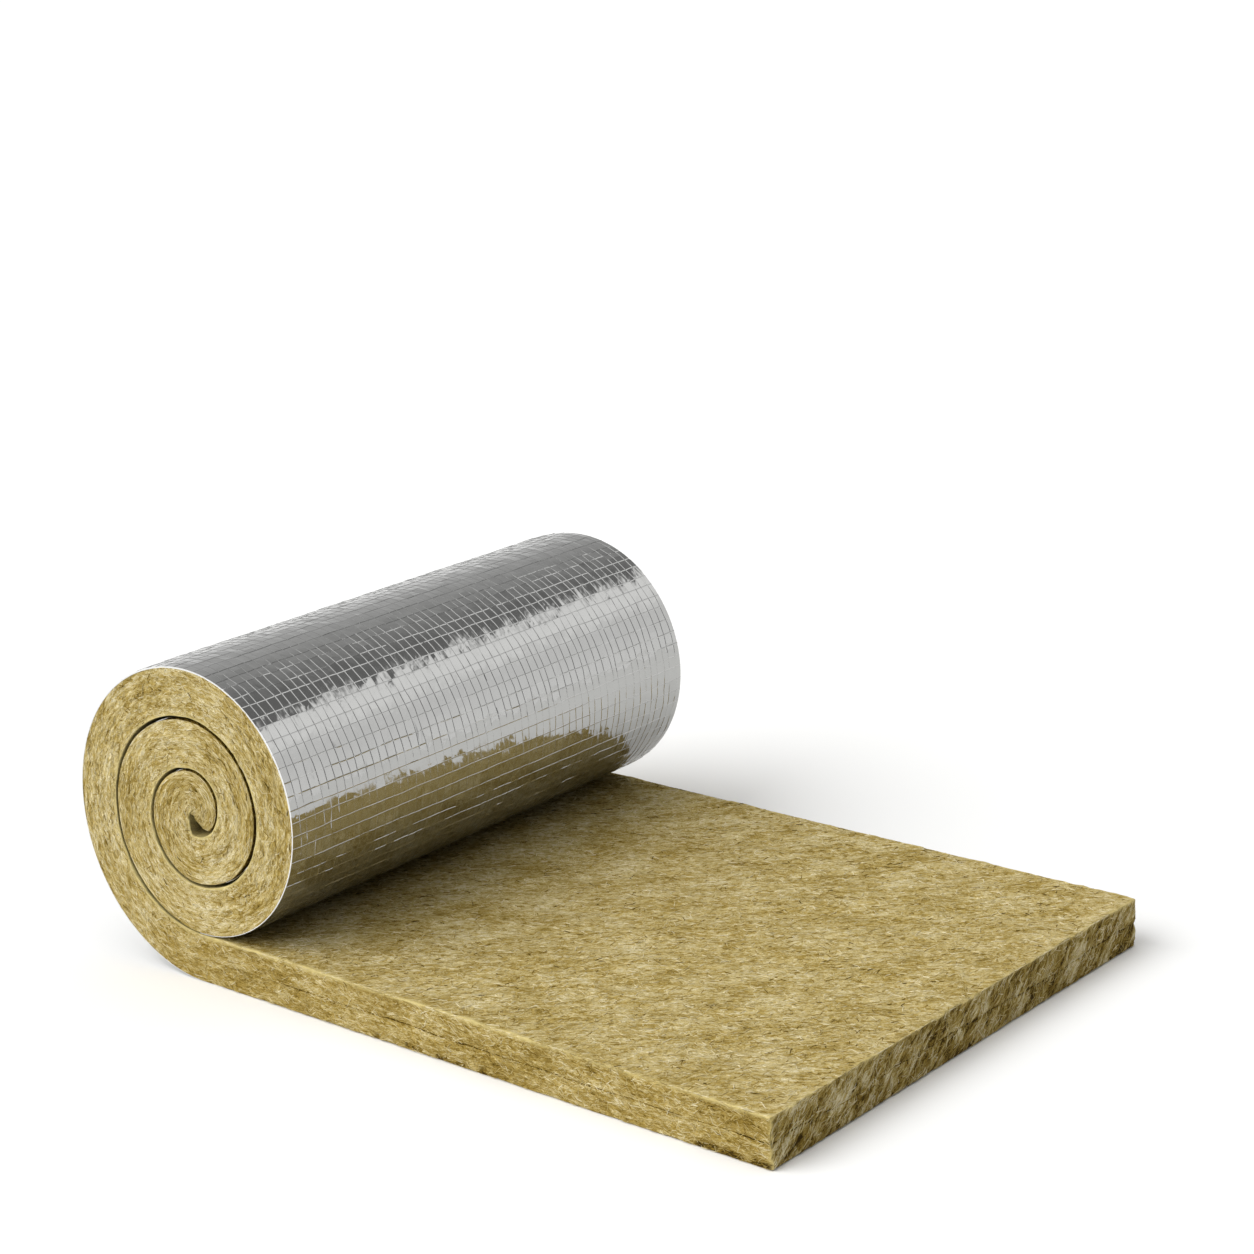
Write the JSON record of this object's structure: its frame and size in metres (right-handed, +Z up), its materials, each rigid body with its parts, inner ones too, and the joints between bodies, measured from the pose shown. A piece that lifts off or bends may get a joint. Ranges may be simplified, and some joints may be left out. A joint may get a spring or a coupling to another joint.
{
  "type": "insulation roll",
  "caption": "Foil-faced mineral wool insulation mat, partly unrolled: a thick fibrous strip wound into a spiral roll with a flat tail, bare wool side up, for insulating ducts and walls.",
  "frame": {"origin": "on the floor, at the centre of the box around the mat", "axes": "+X along the flat tail towards its free end, +Y along the roll's axis, +Z up"},
  "size_m": [1.4248, 1, 0.54],
  "materials": {
    "mineral_wool": "matt bound wool fibres, olive tan",
    "reinforced_foil": "bright foil over a grid of reinforcing threads"
  },
  "bodies": {
    "root": {"wool_mat": "mineral_wool", "foil_facing": "reinforced_foil"}
  },
  "joints": []
}
